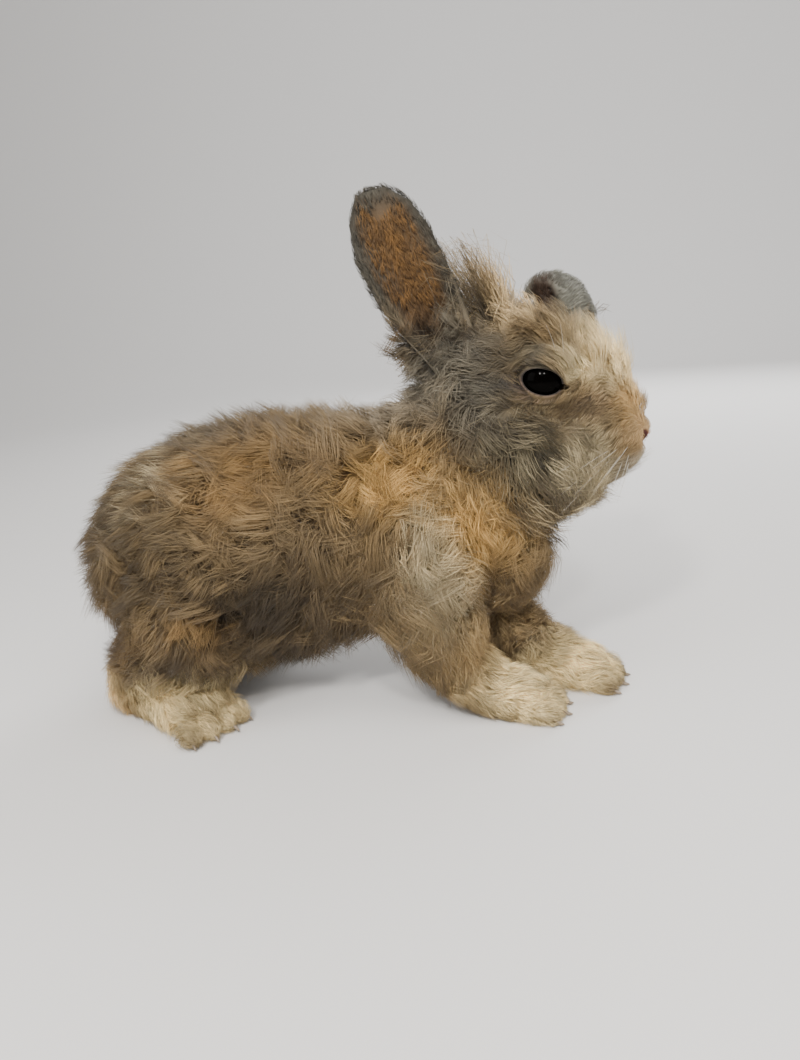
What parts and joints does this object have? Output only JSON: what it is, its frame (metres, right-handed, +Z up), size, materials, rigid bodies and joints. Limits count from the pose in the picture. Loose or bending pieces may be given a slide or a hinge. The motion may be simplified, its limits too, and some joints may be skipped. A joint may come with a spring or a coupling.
{
  "type": "rabbit figure",
  "caption": "Life-size still model of a young woolly lop rabbit standing on all four feet, one ear up and one folded forward.",
  "frame": {"origin": "on the floor, under the middle of the rabbit's bounding box", "axes": "+X the way the rabbit faces, +Y its left side, +Z up from the floor"},
  "size_m": [0.234, 0.111, 0.1875],
  "materials": {
    "head_fur": "soft fur",
    "body_fur": "woolly fur",
    "ear_fur": "short fur",
    "paw_fur": "short fur",
    "eye": "wet gloss"
  },
  "bodies": {
    "root": {"head": "head_fur", "neck": "body_fur", "torso": "body_fur", "tail": "body_fur", "ear_right": "ear_fur", "ear_left": "ear_fur", "eye_right": "eye", "eye_left": "eye", "foreleg_right": "body_fur", "foreleg_left": "body_fur", "forepaw_right": "paw_fur", "forepaw_left": "paw_fur", "hindleg_right": "body_fur", "hindleg_left": "body_fur", "hindfoot_right": "paw_fur", "hindfoot_left": "paw_fur"}
  },
  "joints": []
}
